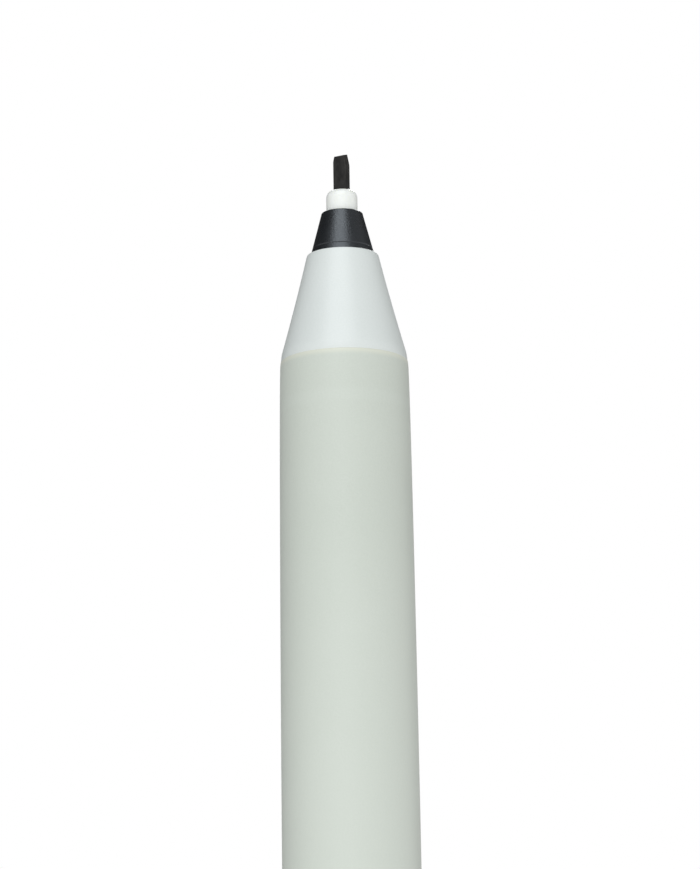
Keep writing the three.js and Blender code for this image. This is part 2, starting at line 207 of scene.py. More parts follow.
def turned_about_z(bm, angle):
    """Turns a bmesh round the axis, by an angle in radians."""
    bmesh.ops.rotate(bm, cent=(0, 0, 0), matrix=Matrix.Rotation(angle, 3, "Z"), verts=bm.verts)
    return bm


def soften(piece, name, width, angle):
    """Rounds the edges that are sharper than the angle, in degrees, over a width in millimetres."""
    bevel = piece.modifiers.new(name, "BEVEL")
    bevel.width = width * MM
    bevel.segments = 3
    bevel.limit_method = "ANGLE"
    bevel.angle_limit = math.radians(angle)
    bevel.harden_normals = True


# ---- The marker's pieces -----------------------------------------------------------------------------------

NIB_WIDTH = 1.3
NIB_THICKNESS = 0.7
NIB_TURN = math.radians(-32)
NIB_END_SLOPE = math.radians(18)
NIB_EDGE = 0.07  # radius of the slab's long edges
NIB_CORNERS = ((1, 0.25, 1.15), (-1, 0.2, 0.79))  # the dressed corners: side, width and length
COLLAR_BASE = 2.78
COLLAR_TOP = 1.77
COLLAR_STEM_GAP = 0.24
CONE_TOP = 3.1
CONE_HOLLOW = 0.048  # how much the flank curves in, halfway up
HOLDER_RADIUS = HOLDER_HIGH.x
HOLDER_FLAT = 0.9
HOLDER_SHOULDER = 0.64
HOLDER_STEM = 1.2
FILM_THICKNESS = 0.15


def make_barrel():
    chamfer = 0.13  # at the back end
    rim = 0.06  # radius of the front edge
    back = BARREL_LOW.z
    lead = FRONT_Z - 4  # from here on the stations are closer together
    seam_radius = shoulder_point(SEAM_SLOPE)[0]
    profile = [
        (BORE, back),
        (barrel_radius(back) - chamfer, back),
        *[(barrel_radius(z), z) for z in stations(back + chamfer, lead, 54)],
        *[(barrel_radius(z), z) for z in stations(lead + 0.4, FRONT_Z - SHOULDER_START, 9)],
        shoulder_point(SEAM_SLOPE / 3),
        *arc((seam_radius - rim, FRONT_Z - rim), (rim, rim), 3, 90, 8),
        (BORE, FRONT_Z),
    ]
    return turned("barrel_tube", profile)


def cone_flank(share):
    """A point on the cone's flank, by its share of the way up."""
    foot, foot_z = shoulder_point(SHOULDER_SLOPE)
    radius = foot + (CONE_TOP - foot) * share - 4 * CONE_HOLLOW * share * (1 - share)
    return radius, foot_z + (CONE_TOP_Z - foot_z) * share


def make_front_cone():
    spigot = BORE - FIXED_GAP
    lead_in = 0.3
    socket = COLLAR_BASE - COLLAR_STEM_GAP
    socket_floor = CONE_TOP_Z - 6.4
    throat = 3.5
    throat_start = CONE_TOP_Z - 7.8
    rim = 0.07  # radius of the edge round the ledge
    flank = [cone_flank(share) for share in stations(0, 0.98, 24)]
    blend = [shoulder_point(slope) for slope in stations(SEAM_SLOPE, SHOULDER_SLOPE, 9)]
    steps = len(blend) - 1
    inset = [(radius - SEAM_STEP * (1 - i / steps), height) for i, (radius, height) in enumerate(blend)]
    profile = [
        (throat, CONE_LOW.z),
        (spigot - lead_in, CONE_LOW.z),
        (spigot, CONE_LOW.z + lead_in),
        (spigot, FRONT_Z + LIFT),
        (inset[0][0] - 2 * LIFT, FRONT_Z + LIFT),
        *inset[:-1],
        *flank,
        *arc((CONE_TOP - rim, CONE_TOP_Z - rim), (rim, rim), 14, 90, 6),
        (socket, CONE_TOP_Z),
        (socket, socket_floor),
        (throat, throat_start),
    ]
    return turned("front_cone_shell", profile)


def make_collar():
    height = COLLAR_TOP_Z - CONE_TOP_Z
    groove = 0.6  # height of the groove's middle above the cone, then half its width and its depth
    half = 0.05
    depth = 0.03
    foot = 0.03  # chamfer at the collar's foot
    corner = 0.16  # radius of the top corner
    stem = COLLAR_BASE - COLLAR_STEM_GAP - FIXED_GAP
    lead_in = 0.3
    bore = HOLDER_STEM + FIXED_GAP

    def flank(up):
        return COLLAR_BASE + (COLLAR_TOP - COLLAR_BASE) * up / height

    tip = flank(height - corner)
    profile = [
        (bore, COLLAR_LOW.z),
        (stem - lead_in, COLLAR_LOW.z),
        (stem, COLLAR_LOW.z + lead_in),
        (stem, CONE_TOP_Z + LIFT),
        (flank(0) - foot, CONE_TOP_Z + LIFT),
        (flank(0), CONE_TOP_Z + LIFT + foot),
        (flank(groove - half), CONE_TOP_Z + groove - half),
        (flank(groove) - depth, CONE_TOP_Z + groove - half / 3),
        (flank(groove) - depth, CONE_TOP_Z + groove + half / 3),
        (flank(groove + half), CONE_TOP_Z + groove + half),
        *[(flank(up), CONE_TOP_Z + up) for up in stations(groove + 0.5, height - corner - 0.1, 5)],
        *arc((tip - corner, COLLAR_TOP_Z - corner), (corner, corner), 14, 90, 8),
        (bore, COLLAR_TOP_Z),
    ]
    return turned("collar_ring", profile, SMALL)


def nib_section(bm, half_width, half_thickness, radius, z):
    """A ring of vertices round a slab's rounded rectangle."""
    ring = []
    corners = ((1, 1, 0), (-1, 1, 90), (-1, -1, 180), (1, -1, 270))
    for sx, sy, start in corners:
        centre = (sx * (half_width - radius), sy * (half_thickness - radius))
        for x, y in arc(centre, (radius, radius), start, start + 90, 4):
            ring.append(bm.verts.new((x, y, z)))
    return ring


def slab_bmesh(half_width, half_thickness, radius, heights):
    """A closed slab from (height, share of the half width) pairs."""
    bm = bmesh.new()
    rings = [
        nib_section(bm, half_width * share, half_thickness, radius, z) for z, share in heights
    ]
    for lower, upper in zip(rings, rings[1:]):
        count = len(lower)
        for k in range(count):
            bm.faces.new((lower[k], lower[(k + 1) % count], upper[(k + 1) % count], upper[k]))
    bm.faces.new(reversed(rings[0]))
    bm.faces.new(rings[-1])
    return bm


def slice_off(bm, point, normal):
    """Cuts away what lies on the normal's side of a plane and closes the cut."""
    geometry = bm.verts[:] + bm.edges[:] + bm.faces[:]
    cut = bmesh.ops.bisect_plane(
        bm, geom=geometry, plane_co=point, plane_no=Vector(normal).normalized(), clear_outer=True, dist=1e-5
    )
    edges = [item for item in cut["geom_cut"] if isinstance(item, bmesh.types.BMEdge)]
    bmesh.ops.contextual_create(bm, geom=edges)


def make_nib():
    half_width = NIB_WIDTH / 2
    half_thickness = NIB_THICKNESS / 2
    point = 0.45  # share of the width left at the back end, which is pointed over a length
    point_length = 1
    top = NIB_HIGH.z - LIFT
    heights = [(NIB_LOW.z, point), (NIB_LOW.z + point_length, 1), (HOLDER_TOP_Z, 1), (top + BEYOND, 1)]
    bm = slab_bmesh(half_width, half_thickness, NIB_EDGE, heights)
    slice_off(bm, (0, half_thickness, top), (0, -math.sin(NIB_END_SLOPE), math.cos(NIB_END_SLOPE)))
    for side, inset, length in NIB_CORNERS:
        slice_off(bm, (side * (half_width - inset), 0, top), (side * length, 0, inset))
    turned_about_z(bm, NIB_TURN)
    piece = finish_mesh("nib_slab", bm, 25)
    soften(piece, "soft_edges", 0.03, 20)
    return piece


def make_nib_holder():
    low = HOLDER_LOW.z
    lead_in = 0.2
    foot = 0.04  # chamfer at the shoulder's foot
    foot_z = COLLAR_TOP_Z + 2 * LIFT
    shoulder = (HOLDER_RADIUS - HOLDER_FLAT, HOLDER_SHOULDER)
    bore = 0.8  # behind the nib's slot
    start = 0.3  # the hole in the profile, which the nib's slot then widens
    profile = [
        (bore, low),
        (HOLDER_STEM - lead_in, low),
        (HOLDER_STEM, low + lead_in),
        (HOLDER_STEM, foot_z),
        (HOLDER_RADIUS - foot, foot_z),
        (HOLDER_RADIUS, foot_z + foot),
        *arc((HOLDER_FLAT, HOLDER_TOP_Z - HOLDER_SHOULDER), shoulder, 0, 90, 14),
        (start, HOLDER_TOP_Z),
        (start, COLLAR_TOP_Z),
        (bore, COLLAR_TOP_Z - 0.6),
    ]
    piece = turned("nib_holder_sleeve", profile, SMALL)
    gap = 0.03
    slot = slab_bmesh(
        NIB_WIDTH / 2 + gap,
        NIB_THICKNESS / 2 + gap,
        NIB_EDGE + gap,
        [(COLLAR_TOP_Z - BEYOND, 1), (HOLDER_TOP_Z + BEYOND, 1)],
    )
    return carve(piece, [turned_about_z(slot, NIB_TURN)])


def make_tail_plug():
    low, top = TAIL_LOW.z, TAIL_HIGH.z
    rim = barrel_radius(low)
    flange = BARREL_LOW.z
    spigot = BORE - FIXED_GAP
    lead_in = 0.5
    edge = 0.35  # radius of the outer edge
    dish = 2.5  # radius of the shallow dish in the end, its depth and the radius of its corner
    dish_depth = 0.4
    dish_corner = 0.1
    mouth = 2.95  # radius of the dish's mouth, and the drop and width of its softened edge
    mouth_drop = 0.03
    mouth_width = 0.1
    hollow = 3.2  # radius of the pocket behind the reservoir, and its floor
    hollow_floor = low + 2.4
    profile = [
        (0, low + dish_depth),
        (dish, low + dish_depth),
        *arc((dish, low + dish_depth + dish_corner), (dish_corner, dish_corner), -90, -45, 3),
        (mouth - mouth_width, low + mouth_drop),
        (mouth, low),
        (rim - edge, low),
        *arc((rim - edge, low + edge), (edge, edge), -90, 0, 8),
        (rim, flange - 4 * LIFT),
        (spigot, flange - 4 * LIFT),
        (spigot, top - lead_in),
        (spigot - lead_in, top),
        (hollow, top),
        (hollow, hollow_floor),
        (0, hollow_floor),
    ]
    return turned("tail_plug_disc", profile)


def make_ink_reservoir():
    low, top = FIBRE_LOW.z, FIBRE_HIGH.z
    radius = FIBRE_HIGH.x
    chamfer = 0.15
    pocket = 0.85  # where the nib's back end goes in
    pocket_floor = NIB_LOW.z - 0.3
    profile = [
        (0, low),
        (radius - chamfer, low),
        (radius, low + chamfer),
        (radius, top - chamfer),
        (radius - chamfer, top),
        (pocket, top),
        (pocket, pocket_floor),
        (0, pocket_floor),
    ]
    return turned("ink_reservoir_fibre", profile, SMALL)


def make_reservoir_wrap():
    outer = FILM_HIGH.x
    inner = outer - FILM_THICKNESS
    profile = [(inner, FILM_LOW.z), (outer, FILM_LOW.z), (outer, FILM_HIGH.z), (inner, FILM_HIGH.z)]
    return turned("reservoir_wrap_film", profile, SMALL)


# ---- The cap's pieces --------------------------------------------------------------------------------------

CAP_END_RADIUS = 6.55
CAP_SOCKET = 5.65  # where the end plug and the liner sit
CLIP_WIDTH = CLIP_HIGH.x - CLIP_LOW.x
CLIP_THICKNESS = 0.5
CLIP_GAP = 0.3  # round it in its slot, and between its bead and the cap
CLIP_ROOT_Z = CLIP_LOW.z + CLIP_THICKNESS / 2
CLIP_ROOT_IN = -CLIP_HIGH.y
CLIP_BEND = 1  # radius of the bend at its root


def clip_slot():
    """The slot for the clip's root, as a cutter for the shell and the end plug."""
    half = CLIP_THICKNESS / 2 + CLIP_GAP
    side = CLIP_WIDTH / 2 + CLIP_GAP
    low = (-side, -CAP_END_RADIUS - BEYOND, CLIP_ROOT_Z - half)
    return block_bmesh(low, (side, -CLIP_ROOT_IN + CLIP_GAP, CLIP_ROOT_Z + half))


def make_cap_shell():
    low, mouth = CAP_LOW.z, CAP_HIGH.z
    mouth_radius = CAP_HIGH.x
    edge = 0.5  # radius of the closed end's edge
    lip = 0.22  # radius of the mouth's edge
    taper = mouth_radius - CAP_END_RADIUS
    length = mouth - lip - low - edge
    stop = LINER_HIGH.z - 0.3  # a step that holds the liner down
    ease = 0.3  # the mouth is eased over this length, for the barrel to find its way in
    bore = [(barrel_radius(z) + SLIDE_GAP, z) for z in stations(mouth - ease, TAIL_LOW.z, 12)]
    mouth_bore = barrel_radius(mouth) + SLIDE_GAP
    profile = [
        (CAP_SOCKET, low),
        *arc((CAP_END_RADIUS - edge, low + edge), (edge, edge), -90, 0, 10),
        *[(CAP_END_RADIUS + taper * share, low + edge + length * share) for share in stations(0.1, 1, 10)],
        *arc((mouth_radius - lip, mouth - lip), (lip, lip), 10, 90, 8),
        (mouth_bore + 0.16, mouth),
        (mouth_bore + 0.05, mouth - 0.06),
        *bore,
        (barrel_radius(TAIL_LOW.z) + SLIDE_GAP, stop),
        (CAP_SOCKET, stop),
    ]
    return carve(turned("cap_shell_tube", profile), [clip_slot()])


def make_cap_end_plug():
    radius = CAP_SOCKET - FIXED_GAP
    low, top = PLUG_LOW.z, PLUG_HIGH.z
    edge = 0.3
    lead_in = 0.4
    skirt = 4.6  # inner radius of the skirt, and the thickness of the disc it stands on
    disc = 3.6
    vents = 3  # grooves that let air through
    vent_depth = 0.7
    vent_half = 0.9
    profile = [
        (0, low),
        (radius - edge, low),
        *arc((radius - edge, low + edge), (edge, edge), -90, 0, 8)[1:],
        (radius, top - lead_in),
        (radius - lead_in, top),
        (skirt, top),
        (skirt, low + disc),
        (0, low + disc),
    ]
    cutters = [clip_slot()]
    for number in range(vents):
        vent = block_bmesh(
            (radius - vent_depth, -vent_half, low - BEYOND),
            (radius + BEYOND, vent_half, top + BEYOND),
        )
        cutters.append(turned_about_z(vent, math.pi / 2 + number * 2 * math.pi / vents))
    return carve(turned("cap_end_plug_disc", profile), cutters)


def make_cap_liner():
    low, top = LINER_LOW.z, LINER_HIGH.z
    flange = CAP_SOCKET - FIXED_GAP
    flange_height = 1.5  # and the height at which the slope to the wall ends
    slope_end = 2
    wall = 5
    cavity = 4.3
    floor = 1
    lip = 3.25  # inner radius of the sealing lip, its height there and where it meets the cavity
    lip_height = 0.8
    lip_root = 2
    soft = 0.2
    profile = [
        (0, low),
        (flange, low),
        (flange, low + flange_height),
        (wall, low + slope_end),
        (wall, top - slope_end),
        (flange, top - flange_height),
        *arc((flange - soft, top - soft), (soft, soft), 0, 90, 6),
        *arc((lip + soft, top - soft), (soft, soft), 90, 180, 6),
        (lip, top - lip_height),
        (cavity, top - lip_root),
        (cavity, low + floor),
        (0, low + floor),
    ]
    return turned("cap_liner_cup", profile)


def bezier(points, steps):
    """Points on a quadratic or cubic Bezier curve, without its first point."""
    made = []
    for i in range(1, steps + 1):
        level = [Vector(p) for p in points]
        while len(level) > 1:
            level = [a.lerp(b, i / steps) for a, b in zip(level, level[1:])]
        made.append(tuple(level[0]))
    return made


def clip_centreline():
    """(distance from the axis, height) from the root tab to the flicked end."""
    end = CLIP_HIGH.z - 0.1
    stands = -CLIP_LOW.y - CLIP_THICKNESS / 2
    bend = stands - CLIP_BEND
    bead = CAP_HIGH.x + CLIP_GAP + CLIP_THICKNESS / 2
    dip, bottom = end - 7, end - 3  # where the strip dips in towards the cap
    middle = (dip + bottom) / 2
    flick = 0.75  # how far the end stands out past the bead
    return [
        (CLIP_ROOT_IN, CLIP_ROOT_Z),
        (bend - 0.4, CLIP_ROOT_Z),
        *arc((bend, CLIP_ROOT_Z + CLIP_BEND), (CLIP_BEND, CLIP_BEND), -90, 0, 10),
        *[(stands, z) for z in stations(CLIP_ROOT_Z + CLIP_BEND + 1, dip, 8)],
        *bezier([(stands, dip), (stands, middle), (bead, middle), (bead, bottom)], 12),
        *bezier([(bead, bottom), (bead, bottom + 1.6), (bead + flick, end)], 8),
    ]


def make_clip():
    """The strip, swept along its centreline, with its pressed edges softened."""
    line = [Vector(p) for p in clip_centreline()]
    bm = bmesh.new()
    rows = []
    for i, point in enumerate(line):
        along = (line[min(i + 1, len(line) - 1)] - line[max(i - 1, 0)]).normalized()
        out = Vector((-along.y, along.x)) * CLIP_THICKNESS / 2
        row = []
        for sign, side in ((-1, -1), (-1, 1), (1, 1), (1, -1)):
            place = point + out * sign
            row.append(bm.verts.new((side * CLIP_WIDTH / 2, -place.x, place.y)))
        rows.append(row)
    for lower, upper in zip(rows, rows[1:]):
        for k in range(4):
            bm.faces.new((lower[k], lower[(k + 1) % 4], upper[(k + 1) % 4], upper[k]))
    bm.faces.new(reversed(rows[0]))
    bm.faces.new(rows[-1])
    piece = finish_mesh("clip_strip", bm, 40)
    soften(piece, "pressed_edges", 0.1, 50)
    return piece


# ---- Materials ---------------------------------------------------------------------------------------------


def srgb(red, green, blue):
    """A linear colour from 0 to 255 display values."""
    made = []
    for value in (red, green, blue):
        share = value / 255
        made.append(share / 12.92 if share <= 0.04045 else ((share + 0.055) / 1.055) ** 2.4)
    return (*made, 1)


class Finish:
    """A Principled material and short calls for the nodes that vary it."""

    def __init__(self, name, roughness, **sockets):
        self.material = bpy.data.materials.new(name)
        self.material.use_nodes = True
        self.tree = self.material.node_tree
        self.shader = self.tree.nodes["Principled BSDF"]
        self.shader.inputs["Roughness"].default_value = roughness
        for socket, value in sockets.items():
            self.shader.inputs[socket.replace("_", " ")].default_value = value
        coordinates = self.tree.nodes.new("ShaderNodeTexCoord")
        self.place = coordinates.outputs["Object"]

    def link(self, source, target):
        self.tree.links.new(source, target)

    def node(self, kind, **settings):
        made = self.tree.nodes.new(kind)
        for key, value in settings.items():
            setattr(made, key, value)
        return made

    def noise(self, size_mm, detail=2, roughness=0.5, stretch=(1, 1, 1)):
        """Noise from 0 to 1 whose features are about size_mm across, drawn out along an axis by stretch."""
        mapping = self.node("ShaderNodeMapping")
        mapping.inputs["Scale"].default_value = [1 / (size_mm * MM * s) for s in stretch]
        self.link(self.place, mapping.inputs["Vector"])
        made = self.node("ShaderNodeTexNoise")
        made.inputs["Scale"].default_value = 1
        made.inputs["Detail"].default_value = detail
        made.inputs["Roughness"].default_value = roughness
        self.link(mapping.outputs["Vector"], made.inputs["Vector"])
        return made.outputs["Fac"]

    def height(self):
        """The height above the floor, in metres."""
        split = self.node("ShaderNodeSeparateXYZ")
        self.link(self.place, split.inputs["Vector"])
        return split.outputs["Z"]

    def ranged(self, value, low, high, to_low=0, to_high=1, smooth=False):
        made = self.node("ShaderNodeMapRange")
        if smooth:
            made.interpolation_type = "SMOOTHSTEP"
        made.inputs["From Min"].default_value = low
        made.inputs["From Max"].default_value = high
        made.inputs["To Min"].default_value = to_low
        made.inputs["To Max"].default_value = to_high
        self.link(value, made.inputs["Value"])
        return made.outputs["Result"]

    def maths(self, operation, first, second):
        made = self.node("ShaderNodeMath", operation=operation)
        for socket, value in zip(made.inputs, (first, second)):
            if isinstance(value, (int, float)):
                socket.default_value = value
            else:
                self.link(value, socket)
        return made.outputs["Value"]

    def edges(self, reach_mm):
        """0 on open faces, rising to 1 along edges."""
        rounded = self.node("ShaderNodeBevel", samples=6)
        rounded.inputs["Radius"].default_value = reach_mm * MM
        alike = self.node("ShaderNodeVectorMath", operation="DOT_PRODUCT")
        self.link(rounded.outputs["Normal"], alike.inputs[0])
        self.link(self.node("ShaderNodeNewGeometry").outputs["Normal"], alike.inputs[1])
        return self.ranged(alike.outputs["Value"], 0.995, 0.9)

    def band(self, value, low, high, soft):
        """1 between low and high, falling off over soft on each side."""
        rise = self.ranged(value, low - soft, low, smooth=True)
        fall = self.ranged(value, high, high + soft, 1, 0, smooth=True)
        return self.maths("MULTIPLY", rise, fall)

    def blend(self, share, first, second):
        """A colour between two others, which are colours or sockets."""
        mix = self.node("ShaderNodeMix", data_type="RGBA")
        self.link(share, mix.inputs["Factor"])
        for socket, value in zip(("A", "B"), (first, second)):
            target = next(s for s in mix.inputs if s.name == socket and s.type == "RGBA")
            if isinstance(value, tuple):
                target.default_value = value
            else:
                self.link(value, target)
        return next(s for s in mix.outputs if s.type == "RGBA")

    def color(self, value):
        self.link(value, self.shader.inputs["Base Color"])

    def roughness(self, value):
        self.link(value, self.shader.inputs["Roughness"])

    def bump(self, height, distance_mm):
        made = self.node("ShaderNodeBump")
        made.inputs["Distance"].default_value = distance_mm * MM
        made.inputs["Strength"].default_value = 1
        self.link(height, made.inputs["Height"])
        self.link(made.outputs["Normal"], self.shader.inputs["Normal"])


def moulded(name, dark, light, rubbed, roughness, grain_mm=0.2, depth_mm=0.012, **sockets):
    """Satin moulded plastic: clouds and speckle in the colour, grain, uneven gloss and rubbed edges."""
    finish = Finish(name, roughness, **sockets)
    cloud = finish.ranged(finish.noise(9, 3), 0.3, 0.7, 0, 0.4)
    speckle = finish.ranged(finish.noise(grain_mm * 0.8, 2, 0.7), 0.25, 0.75, 0, 0.6)
    mottled = finish.blend(finish.maths("ADD", cloud, speckle), dark, light)
    patches = finish.ranged(finish.noise(1.5, 3), 0.35, 0.65, 0.2, 0.8)
    wear = finish.maths("MULTIPLY", finish.edges(0.12), patches)
    finish.color(finish.blend(wear, mottled, rubbed))
    uneven = finish.ranged(finish.noise(3, 4, 0.6), 0.25, 0.75, roughness - 0.05, roughness + 0.05)
    finish.roughness(finish.maths("ADD", uneven, finish.ranged(speckle, 0, 0.6, -0.06, 0.06)))
    finish.bump(finish.noise(grain_mm, 3, 0.6), depth_mm)
    return finish


def barrel_plastic():
    """The barrel's plastic, with light painted in: a warmer, lighter painted highlight along the front edge,
    a faint painted light band where the cone's sleeve ends inside, and painted light that makes it paler
    further back.
    """
    tones = srgb(198, 205, 195), srgb(206, 212, 203), srgb(213, 218, 210)
    finish = moulded("barrel_plastic", *tones, 0.42, Sheen_Weight=0.2, Sheen_Roughness=0.5)
    plain = finish.shader.inputs["Base Color"].links[0].from_socket
    height = finish.height()
    # Painted highlight: a lighter, warmer band along the front edge, where the edge catches the light.
    rim = finish.band(height, (FRONT_Z - 0.06) * MM, (FRONT_Z + 1) * MM, 0.55 * MM)
    # Painted light: a faint lighter band where the light through the thin wall changes over the end of the
    # cone's sleeve inside.
    sleeve = finish.band(height, (FRONT_Z - 4.3) * MM, (FRONT_Z - 3.8) * MM, 0.5 * MM)
    # Painted light: the barrel grows paler further back, towards the bottom, where the light is stronger.
    back = finish.ranged(height, (FRONT_Z - 40) * MM, (FRONT_Z - 8) * MM, 0.35, 0, smooth=True)
    painted_lower_light = finish.blend(back, plain, srgb(216, 222, 213))
    painted_sleeve_band = finish.blend(finish.maths("MULTIPLY", sleeve, 0.15), painted_lower_light, srgb(212, 219, 211))
    # Lays the painted highlight along the front edge over the rest.
    finish.color(finish.blend(rim, painted_sleeve_band, srgb(217, 220, 206)))
    return finish.material


def cone_plastic():
    """The paler, bluer plastic of the front cone."""
    tones = srgb(216, 222, 219), srgb(223, 228, 226), srgb(229, 233, 231)
    return moulded("cone_plastic", *tones, 0.38).material


def black_plastic():
    """The collar's glossy plastic, with a bluish shine and a fine grain. Both plugs are made of it too."""
    tones = srgb(24, 26, 28), srgb(34, 36, 39), srgb(54, 55, 58)
    gloss = {"Specular_Tint": (0.88, 0.94, 1, 1), "IOR": 1.64}
    return moulded("black_plastic", *tones, 0.3, 0.14, 0.022, **gloss).material


def white_acetal():
    """The nib holder's white plastic, which lets a little light through."""
    tones = srgb(239, 242, 237), srgb(246, 248, 244), srgb(249, 250, 248)
    finish = moulded("white_acetal", *tones, 0.36, 0.15)
    finish.shader.inputs["Subsurface Weight"].default_value = 0.25
    finish.shader.inputs["Subsurface Radius"].default_value = (0.5, 0.5, 0.45)
    finish.shader.inputs["Subsurface Scale"].default_value = 0.6 * MM
    return finish.material


def liner_plastic():
    tones = srgb(226, 229, 224), srgb(234, 236, 232), srgb(240, 242, 239)
    return moulded("liner_plastic", *tones, 0.5).material


def nib_fibre():
    """Pressed fibre soaked with ink: fine lines along the slab, blotches, and greyer where it is worn."""
    finish = Finish("nib_fibre", 0.8, Specular_IOR_Level=0.35)
    lines = finish.ranged(finish.noise(0.07, 3, 0.6, stretch=(1, 1, 14)), 0.3, 0.7, 0, 0.5)
    blotches = finish.ranged(finish.noise(0.4, 2, stretch=(1, 1, 2)), 0.35, 0.65, 0, 0.5)
    soaked = finish.blend(finish.maths("ADD", lines, blotches), srgb(9, 9, 9), srgb(50, 49, 47))
    worn = finish.maths("MULTIPLY", finish.edges(0.1), 0.6)
    finish.color(finish.blend(worn, soaked, srgb(66, 65, 63)))
    finish.roughness(finish.ranged(lines, 0, 0.5, 0.72, 0.9))
    finish.bump(lines, 0.03)
    return finish.material


def ink_fibre():
    """Bundled fibre full of black ink, with its strands along the rod."""
    finish = Finish("ink_fibre", 0.95)
    strands = finish.noise(0.12, 3, 0.6, stretch=(1, 1, 40))
    finish.color(finish.blend(strands, srgb(16, 16, 18), srgb(44, 44, 48)))
    finish.bump(strands, 0.05)
    return finish.material


def clear_film():
    """Thin clear film with soft creases."""
    finish = Finish("clear_film", 0.15, Transmission_Weight=0.8, IOR=1.45)
    creases = finish.noise(2.5, 3)
    finish.color(finish.blend(creases, srgb(215, 219, 221), srgb(232, 235, 236)))
    finish.bump(creases, 0.05)
    return finish.material


def spring_steel():
    """Nickel-plated steel with fine lengthwise grain, handling marks and polished edges."""
    finish = Finish("spring_steel", 0.26, Metallic=1.0)
    grain = finish.noise(0.05, 3, 0.7, stretch=(1, 1, 60))
    brushed = finish.blend(grain, srgb(136, 137, 139), srgb(188, 189, 191))
    finish.color(finish.blend(finish.edges(0.15), brushed, srgb(214, 214, 215)))
    marks = finish.ranged(finish.noise(2.5, 4, 0.6), 0.35, 0.65, 0, 0.12)
    finish.roughness(finish.maths("ADD", marks, finish.ranged(grain, 0.2, 0.8, 0.18, 0.32)))
    finish.bump(grain, 0.006)
    return finish.material


# ---- Assembly of the looks ---------------------------------------------------------------------------------


def add_piece(make, material, node, body, slot):
    """Makes a piece in the place of its CAD node and fixes it to the node's body."""
    piece = make()
    piece.data.materials.clear()
    piece.data.materials.append(material)
    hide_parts(node)
    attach(piece, body)


def add_pieces():
    barrel = barrel_plastic()
    black = black_plastic()
    rows = [
        (make_barrel, barrel, "barrel", "marker", "barrel_plastic"),
        (make_front_cone, cone_plastic(), "front_cone", "marker", "cone_plastic"),
        (make_collar, black, "collar", "marker", "black_plastic"),
        (make_nib_holder, white_acetal(), "nib_holder", "marker", "white_acetal"),
        (make_nib, nib_fibre(), "nib", "marker", "nib_fibre"),
        (make_tail_plug, black, "tail_plug", "marker", "black_plastic"),
        (make_ink_reservoir, ink_fibre(), "ink_reservoir", "marker", "ink_fibre"),
        (make_reservoir_wrap, clear_film(), "reservoir_wrap", "marker", "clear_film"),
        (make_cap_shell, barrel, "cap_shell", "cap", "barrel_plastic"),
        (make_cap_end_plug, black, "cap_end_plug", "cap", "black_plastic"),
        (make_cap_liner, liner_plastic(), "cap_liner", "cap", "liner_plastic"),
        (make_clip, spring_steel(), "clip", "pocket_clip", "spring_steel"),
    ]
    for row in rows:
        add_piece(*row)


# ---- Studio ------------------------------------------------------------------------------------------------

ROOM_FRONT = 0.66  # the room's brightness in front of the marker and behind it
ROOM_BACK = 0.05
ROOM_TURN = 20  # the bright half faces this much to the right and down, in degrees
ROOM_DIP = 32
ROOM_EDGE = (-0.5, -0.1)  # where it turns dark, as a cosine from the middle of the bright half
CEILING = 0.45  # the room's brightness overhead, as a share of that lower down
CEILING_EDGE = (0.3, 0.65)  # where the ceiling starts and is complete, as a sine of the elevation
BOUNCE = 0.3  # light that comes back from the floor on every side
BOUNCE_EDGE = (-0.15, 0.1)  # and where that ends, in the same way
FLOOR_DROP = 0.02  # the floor lies this much under the cap's end, in mm
FLOOR_FADE = (0.3, 2.2)  # how far from the marker the floor starts to fade, and where it ends, in metres


def add_floor():
    """A plain pale floor that fades into the white. It is clear from below, to show the cap's end."""
    bm = bmesh.new()
    bmesh.ops.create_circle(bm, cap_ends=True, segments=96, radius=FLOOR_FADE[1])
    bmesh.ops.translate(bm, vec=(0, 0, -FLOOR_DROP * MM), verts=bm.verts)
    mesh = bpy.data.meshes.new("floor")
    bm.to_mesh(mesh)
    bm.free()
    floor = bpy.data.objects.new("floor", mesh)
    bpy.context.collection.objects.link(floor)
    finish = Finish("floor_paper", 0.9)
    tone = finish.noise(60, 2)
    finish.color(finish.blend(tone, srgb(238, 238, 237), srgb(242, 242, 241)))
    reach = finish.node("ShaderNodeVectorMath", operation="LENGTH")
    finish.link(finish.place, reach.inputs[0])
    far = finish.ranged(reach.outputs["Value"], *FLOOR_FADE, smooth=True)
    below = finish.node("ShaderNodeNewGeometry").outputs["Backfacing"]
    mix = finish.node("ShaderNodeMixShader")
    finish.link(finish.maths("MAXIMUM", far, below), mix.inputs["Fac"])
    finish.link(finish.shader.outputs["BSDF"], mix.inputs[1])
    finish.link(finish.node("ShaderNodeBsdfTransparent").outputs["BSDF"], mix.inputs[2])
    finish.link(mix.outputs["Shader"], finish.tree.nodes["Material Output"].inputs["Surface"])
    mesh.materials.append(finish.material)
    floor.visible_diffuse = False
    floor.visible_glossy = False
    floor.visible_shadow = False


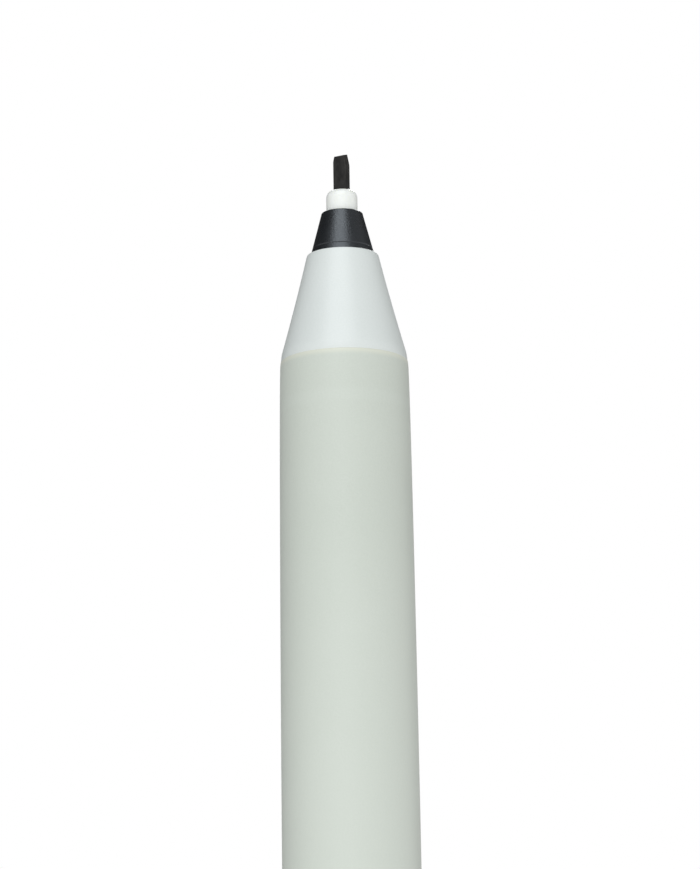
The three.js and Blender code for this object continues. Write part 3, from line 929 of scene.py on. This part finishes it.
def add_world():
    """White behind everything, and on the object a broad soft light from the front half of the room."""
    world = bpy.data.worlds.new("studio")
    bpy.context.scene.world = world
    world.use_nodes = True
    tree = world.node_tree
    fill = tree.nodes["Background"]

    def ranged(value, low, high, to_low, to_high):
        made = tree.nodes.new("ShaderNodeMapRange")
        made.interpolation_type = "SMOOTHSTEP"
        for name, number in zip(("From Min", "From Max", "To Min", "To Max"), (low, high, to_low, to_high)):
            made.inputs[name].default_value = number
        tree.links.new(value, made.inputs["Value"])
        return made.outputs["Result"]

    direction = tree.nodes.new("ShaderNodeTexCoord").outputs["Generated"]
    turn, dip = math.radians(ROOM_TURN), math.radians(ROOM_DIP)
    facing = tree.nodes.new("ShaderNodeVectorMath")
    facing.operation = "DOT_PRODUCT"
    facing.inputs[1].default_value = (
        math.sin(turn) * math.cos(dip),
        -math.cos(turn) * math.cos(dip),
        -math.sin(dip),
    )
    tree.links.new(direction, facing.inputs[0])
    room = ranged(facing.outputs["Value"], *ROOM_EDGE, ROOM_BACK, ROOM_FRONT)
    split = tree.nodes.new("ShaderNodeSeparateXYZ")
    tree.links.new(direction, split.inputs["Vector"])
    ceiling = ranged(split.outputs["Z"], *CEILING_EDGE, 1, CEILING)
    bounce = ranged(split.outputs["Z"], *BOUNCE_EDGE, BOUNCE, 0)
    level = tree.nodes.new("ShaderNodeMath")
    level.operation = "MULTIPLY_ADD"
    for socket, value in zip(level.inputs, (room, ceiling, bounce)):
        tree.links.new(value, socket)
    tree.links.new(level.outputs["Value"], fill.inputs["Strength"])

    seen = tree.nodes.new("ShaderNodeBackground")
    for background in (fill, seen):
        background.inputs["Color"].default_value = (1, 1, 1, 1)
    path = tree.nodes.new("ShaderNodeLightPath")
    mix = tree.nodes.new("ShaderNodeMixShader")
    tree.links.new(path.outputs["Is Camera Ray"], mix.inputs["Fac"])
    tree.links.new(fill.outputs["Background"], mix.inputs[1])
    tree.links.new(seen.outputs["Background"], mix.inputs[2])
    tree.links.new(mix.outputs["Shader"], tree.nodes["World Output"].inputs["Surface"])


def add_soft_sun(name, azimuth, elevation, spread, strength, color):
    """A broad, even light from far off. Azimuth 0 stands on the camera's side, at -Y."""
    a, e = math.radians(azimuth), math.radians(elevation)
    away = Vector((math.sin(a) * math.cos(e), -math.cos(a) * math.cos(e), math.sin(e)))
    light = bpy.data.lights.new(name, "SUN")
    light.energy = strength
    light.angle = math.radians(spread)
    light.color = color
    lamp = bpy.data.objects.new(name, light)
    bpy.context.collection.objects.link(lamp)
    lamp.location = away
    lamp.rotation_mode = "QUATERNION"
    lamp.rotation_quaternion = (-away).to_track_quat("-Z", "Y")


def add_lights():
    add_soft_sun("key", -11, 45, 50, 1.55, (0.94, 0.975, 1.0))
    add_soft_sun("back", 174, 42, 30, 2.3, (1, 1, 1))


# ---- Camera ------------------------------------------------------------------------------------------------

CAMERA_DISTANCE = 0.3852
CAMERA_ELEVATION = math.radians(-13.5)
CAMERA_ROLL = math.radians(-0.87)
CAMERA_AIM = (0.40, 6.3)  # where it looks: right of the axis, and below the barrel's front edge, in mm
LENS = 186.4


def add_camera():
    """The photograph's view, slightly rolled, from below the marker's front."""
    camera = bpy.data.cameras.new("photo_view")
    camera.lens = LENS
    camera.sensor_width = 36
    camera.clip_start = 0.05
    camera.clip_end = 20
    rig = bpy.data.objects.new("photo_view", camera)
    bpy.context.collection.objects.link(rig)
    aim = Vector((CAMERA_AIM[0], 0, FRONT_Z - CAMERA_AIM[1])) * MM
    away = Vector((0, -math.cos(CAMERA_ELEVATION), math.sin(CAMERA_ELEVATION)))
    rig.location = aim + away * CAMERA_DISTANCE
    rig.rotation_mode = "QUATERNION"
    level = (-away).to_track_quat("-Z", "Y")
    rig.rotation_quaternion = level @ Matrix.Rotation(CAMERA_ROLL, 3, "Z").to_quaternion()
    bpy.context.scene.camera = rig


bpy.context.scene.view_settings.view_transform = "Standard"
add_pieces()
add_floor()
add_world()
add_lights()
add_camera()
